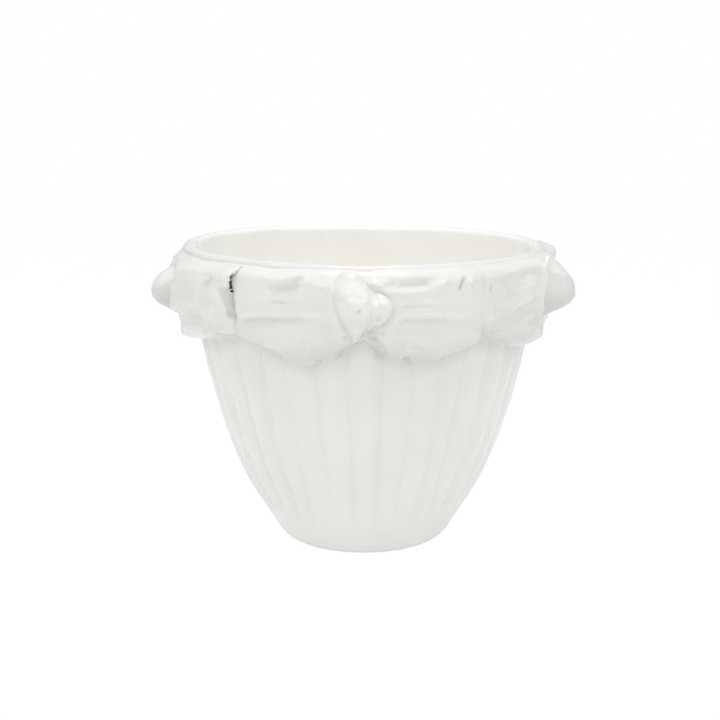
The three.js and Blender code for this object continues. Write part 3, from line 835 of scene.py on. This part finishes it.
def footClay():
    # the foot is wiped bare of glaze before firing
    material = bpy.data.materials.new("footClay")
    material.use_nodes = True
    tree = material.node_tree
    shader = tree.nodes["Principled BSDF"]
    place = tree.nodes.new("ShaderNodeTexCoord")
    grain = addNode(tree, "ShaderNodeTexNoise", Scale=900, Detail=3)
    tone = addMix(tree, A=tones["clay"], B=tones["paleClay"])
    bump = addNode(tree, "ShaderNodeBump", Strength=0.5, Distance=0.0003)
    tree.links.new(place.outputs["Object"], grain.inputs["Vector"])
    tree.links.new(grain.outputs["Fac"], tone.inputs["Factor"])
    tree.links.new(grain.outputs["Fac"], bump.inputs["Height"])
    tree.links.new(tone.outputs["Result"], shader.inputs["Base Color"])
    tree.links.new(bump.outputs["Normal"], shader.inputs["Normal"])
    shader.inputs["Roughness"].default_value = 0.85
    return material


def dressBowl(piece, glazed, bare):
    # within is 0 outside, 0.5 over the lip and 1 deep inside
    corners = readCorners(piece) / mm
    radius = np.hypot(corners[:, 0], corners[:, 1])
    depth = wallRadius(np.minimum(corners[:, 2], potHeight)) - radius
    onLip = 0.5 * ease(lipRadius - radius, 2, 7)
    deeper = 0.5 + 0.5 * ease(potHeight - corners[:, 2], 4, 50)
    within = np.where(corners[:, 2] > potHeight - 4, onLip, np.where(depth > bowl["wall"] - 2, deeper, 0))
    within = np.where(corners[:, 2] < bowl["floor"] - 1, 0, within)
    share = piece.data.attributes.new("within", "FLOAT", "POINT")
    share.data.foreach_set("value", within)
    shadeAndPoolOnBowl(piece)
    dressPiece(piece, "pot_body", glazed)
    piece.data.materials.append(bare)
    for face in piece.data.polygons:
        if face.center.z < 0.4 * mm and math.hypot(face.center.x, face.center.y) < bowl["bareFoot"] * mm:
            face.material_index = 1


def dressPiece(piece, node, material):
    piece.data.materials.clear()
    piece.data.materials.append(material)
    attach(piece, "root")
    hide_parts(node)


# Studio, in metres and degrees
camera = {"lens": 70, "distance": 0.89444, "down": 11.396, "rimAngle": 6.7, "sideways": -0.00256}


def makeCamera():
    data = bpy.data.cameras.new("camera")
    data.lens = camera["lens"]
    data.sensor_width = 36
    view = bpy.data.objects.new("camera", data)
    bpy.context.scene.collection.objects.link(view)
    rim = math.radians(camera["rimAngle"])
    view.location = (camera["sideways"], -camera["distance"] * math.cos(rim),
                     potHeight * mm + camera["distance"] * math.sin(rim))
    view.rotation_euler = (math.radians(90 - camera["down"]), 0, 0)
    bpy.context.scene.camera = view


lamps = {
    "overhead": {"place": (0.05, -0.6, 1.6), "aim": (0, 0, 0.1), "size": (3.2, 1.4), "power": 9.5},
    "aboveMouth": {"place": (0, 0.05, 1.0), "aim": (0, 0, 0), "size": (0.3, 0.3), "power": 1.7},
    "softboxLeft": {"place": (-0.9, -1.5, 1.0), "aim": (0, 0, 0.15), "size": (0.2, 0.26), "power": 1.2},
    "softboxRight": {"place": (0.8, -1.3, 1.3), "aim": (0, 0, 0.15), "size": (0.3, 0.3), "power": 0.5},
}


def makeLamp(name, place, aim, size, power):
    data = bpy.data.lights.new(name, "AREA")
    data.shape = "RECTANGLE"
    data.size, data.size_y = size
    data.energy = power
    lamp = bpy.data.objects.new(name, data)
    bpy.context.scene.collection.objects.link(lamp)
    lamp.location = place
    lamp.rotation_euler = (Vector(aim) - Vector(place)).to_track_quat("-Z", "Y").to_euler()


def makeFloor():
    # nearly white to the camera, with a trace of the pot's shadow, and glowing faintly near the pot
    selectNothing()
    bpy.ops.mesh.primitive_plane_add(size=6, location=(0, 0, -0.0002))
    floor = bpy.context.object
    floor.name = "paleFloor"
    bpy.ops.object.transform_apply(location=True)
    material = bpy.data.materials.new("paleFloor")
    material.use_nodes = True
    tree = material.node_tree
    shader = tree.nodes["Principled BSDF"]
    shader.inputs["Base Color"].default_value = (0.95, 0.95, 0.95, 1)
    shader.inputs["Roughness"].default_value = 0.9
    shader.inputs["Emission Color"].default_value = (1, 1, 1, 1)
    place = tree.nodes.new("ShaderNodeTexCoord")
    away = tree.nodes.new("ShaderNodeVectorMath")
    away.operation = "LENGTH"
    glow = addNode(tree, "ShaderNodeMapRange", From_Min=0.1, From_Max=0.5, To_Min=0.19, To_Max=0)
    tree.links.new(place.outputs["Object"], away.inputs[0])
    tree.links.new(away.outputs["Value"], glow.inputs["Value"])
    tree.links.new(glow.outputs["Result"], shader.inputs["Emission Strength"])
    white = addNode(tree, "ShaderNodeEmission", Strength=1.02)
    ray = tree.nodes.new("ShaderNodeLightPath")
    seen = tree.nodes.new("ShaderNodeMath")
    seen.operation = "MULTIPLY"
    tree.links.new(ray.outputs["Is Camera Ray"], seen.inputs[0])
    seen.inputs[1].default_value = 0.94
    mix = tree.nodes.new("ShaderNodeMixShader")
    tree.links.new(seen.outputs[0], mix.inputs[0])
    tree.links.new(shader.outputs[0], mix.inputs[1])
    tree.links.new(white.outputs[0], mix.inputs[2])
    tree.links.new(mix.outputs[0], tree.nodes["Material Output"].inputs["Surface"])
    floor.data.materials.append(material)


def makeWorld():
    world = bpy.data.worlds.new("studio")
    bpy.context.scene.world = world
    world.use_nodes = True
    tree = world.node_tree
    ground = tree.nodes["Background"]
    ground.inputs["Color"].default_value = (1, 1, 1, 1)
    ray = tree.nodes.new("ShaderNodeLightPath")
    either = tree.nodes.new("ShaderNodeMath")
    either.operation = "MAXIMUM"
    tree.links.new(ray.outputs["Is Camera Ray"], either.inputs[0])
    tree.links.new(ray.outputs["Is Transmission Ray"], either.inputs[1])
    level = addNode(tree, "ShaderNodeMapRange", To_Min=0.65, To_Max=1.0)
    tree.links.new(either.outputs[0], level.inputs["Value"])
    tree.links.new(level.outputs["Result"], ground.inputs["Strength"])


bpy.context.scene.view_settings.view_transform = "Standard"
makeCamera()
makeFloor()
makeWorld()
for name, settings in lamps.items():
    makeLamp(name, **settings)
print("camera, floor and", len(lamps), "lamps")

glaze = glazeGroup()
reedGlaze = bowlGlaze(glaze)
foldGlaze = glazeMaterial("foldGlaze", glaze, *tones["folds"])
knotGlaze = glazeMaterial("knotGlaze", glaze, *tones["knots"])
print("glazes:", reedGlaze.name, foldGlaze.name, knotGlaze.name)
dressBowl(makeBowl(), reedGlaze, footClay())
for bow in range(bowCount):
    for side in (1, -1):
        piece, node = makeDrape(bow, side)
        dressPiece(piece, node, foldGlaze)
    piece, node = makeKnot(bow)
    dressPiece(piece, node, knotGlaze)
